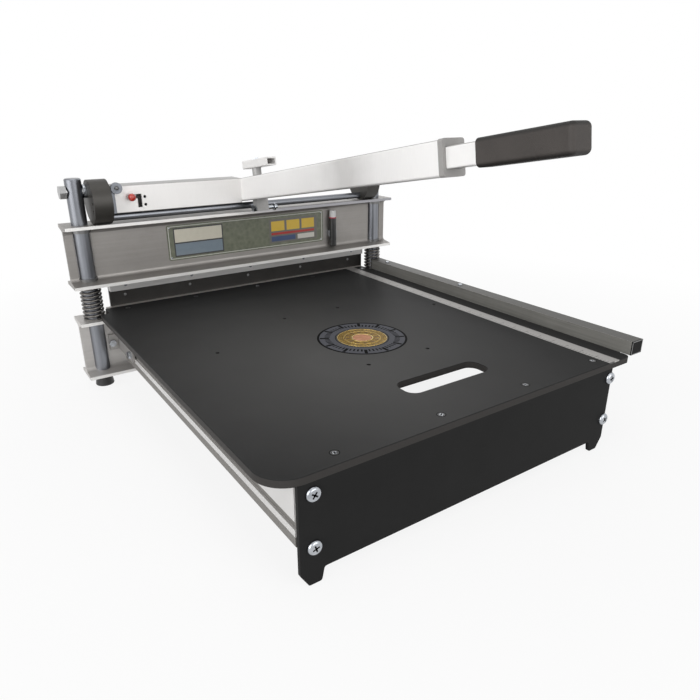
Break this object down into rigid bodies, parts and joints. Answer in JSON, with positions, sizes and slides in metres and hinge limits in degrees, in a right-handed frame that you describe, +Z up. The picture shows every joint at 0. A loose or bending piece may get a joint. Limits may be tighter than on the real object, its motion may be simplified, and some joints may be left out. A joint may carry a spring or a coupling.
{
  "type": "laminate flooring cutter",
  "caption": "Bench laminate cutter: dark table, guillotine blade beam on sprung posts, telescopic lever with cams, side fence and sliding latch.",
  "frame": {"origin": "centre of the footprint on the floor", "axes": "+Z up, +X to the right of the user, who stands at -Y facing the table"},
  "size_m": [0.6484, 0.7448, 0.4472],
  "materials": {
    "brushed_aluminium": "brushed",
    "steel_post": "satin",
    "spring_black": "satin",
    "rubber": "matte",
    "zinc_steel": "satin",
    "rail_aluminium": "satin",
    "dark_panel": "satin",
    "dark_table": "satin",
    "scale_aluminium": "satin",
    "brass": "satin",
    "tool_steel": "satin",
    "fence_bronze": "satin",
    "black_plastic": "satin",
    "bush_steel": "satin",
    "label_film": "satin",
    "cam_black": "satin",
    "end_plate_grey": "satin",
    "collar_plastic": "satin",
    "ball_red": "gloss",
    "grip_brown": "matte",
    "pen_white": "satin",
    "pen_black": "satin"
  },
  "bodies": {
    "base": {"lower_beam": "brushed_aluminium", "post_left": "steel_post", "post_right": "steel_post", "spring_left": "spring_black", "spring_right": "spring_black", "foot_left": "rubber", "foot_right": "rubber", "foot_nuts": "zinc_steel", "rail_left": "rail_aluminium", "rail_right": "rail_aluminium", "rail_bracket_left": "rail_aluminium", "rail_bracket_right": "rail_aluminium", "bracket_bolts": "zinc_steel", "front_panel": "dark_panel", "panel_screws": "zinc_steel", "corner_angle_left": "rail_aluminium", "corner_angle_right": "rail_aluminium", "cross_angle": "rail_aluminium", "table_plate": "dark_table", "table_screws": "zinc_steel", "scale_strip": "scale_aluminium", "medallion_disc": "brass", "anvil": "tool_steel", "fence_tube": "fence_bronze", "fence_plugs": "black_plastic", "fence_screws": "zinc_steel", "fence_support": "fence_bronze", "axle_bolts": "zinc_steel", "axle_washers": "zinc_steel", "axle_nuts": "zinc_steel"},
    "blade_beam": {"upper_beam": "brushed_aluminium", "bushes": "bush_steel", "blade": "tool_steel", "blade_bar": "brushed_aluminium", "blade_bolts": "zinc_steel", "bar_screws": "zinc_steel", "label_plate": "label_film", "pen_clip": "zinc_steel"},
    "lever": {"cam_left": "cam_black", "cam_right": "cam_black", "cross_rod": "steel_post", "cross_tube": "brushed_aluminium", "end_plate": "end_plate_grey", "latch_guide": "black_plastic", "pivot_boss": "zinc_steel", "handle_tube": "brushed_aluminium", "handle_plug": "black_plastic", "collar": "collar_plastic", "lock_block": "cam_black", "lock_bolt": "zinc_steel"},
    "clamp_knob": {"knob_stem": "zinc_steel", "knob_bar": "brushed_aluminium", "knob_cap": "zinc_steel"},
    "latch": {"latch_bolt": "steel_post", "latch_ball": "ball_red"},
    "grip_arm": {"arm_tube": "brushed_aluminium", "arm_shoe": "black_plastic", "grip": "grip_brown"},
    "pen": {"pen_body": "pen_black", "pen_cap": "pen_white"}
  },
  "joints": [
    {"name": "lever_lift", "type": "hinge", "parent": "base", "child": "lever", "pos_m": [0, 0.34307, 0.3349], "axis": [-1, 0, 0], "range_deg": [0, 75]},
    {"name": "beam_slide", "type": "slide", "parent": "base", "child": "blade_beam", "axis": [0, 0, 1], "range_m": [0, 0.0239], "deforming": ["spring_left", "spring_right"]},
    {"name": "knob_turn", "type": "hinge", "parent": "lever", "child": "clamp_knob", "pos_m": [0.003, 0.2907, 0.32693], "axis": [0, 0.1587, 0.9873], "range_deg": [0, 360]},
    {"name": "latch_slide", "type": "slide", "parent": "lever", "child": "latch", "axis": [1, 0, 0], "range_m": [0, 0.0148]},
    {"name": "grip_slide", "type": "slide", "parent": "lever", "child": "grip_arm", "axis": [0, -0.9873, 0.1587], "range_m": [-0.04, 0.2]},
    {"name": "pen_pull", "type": "slide", "parent": "blade_beam", "child": "pen", "axis": [0, -1, 0], "range_m": [0, 0.06]}
  ],
  "couplings": [
    {"joint": "beam_slide", "follows": "lever_lift", "m_per_rad": 0.0182}
  ]
}
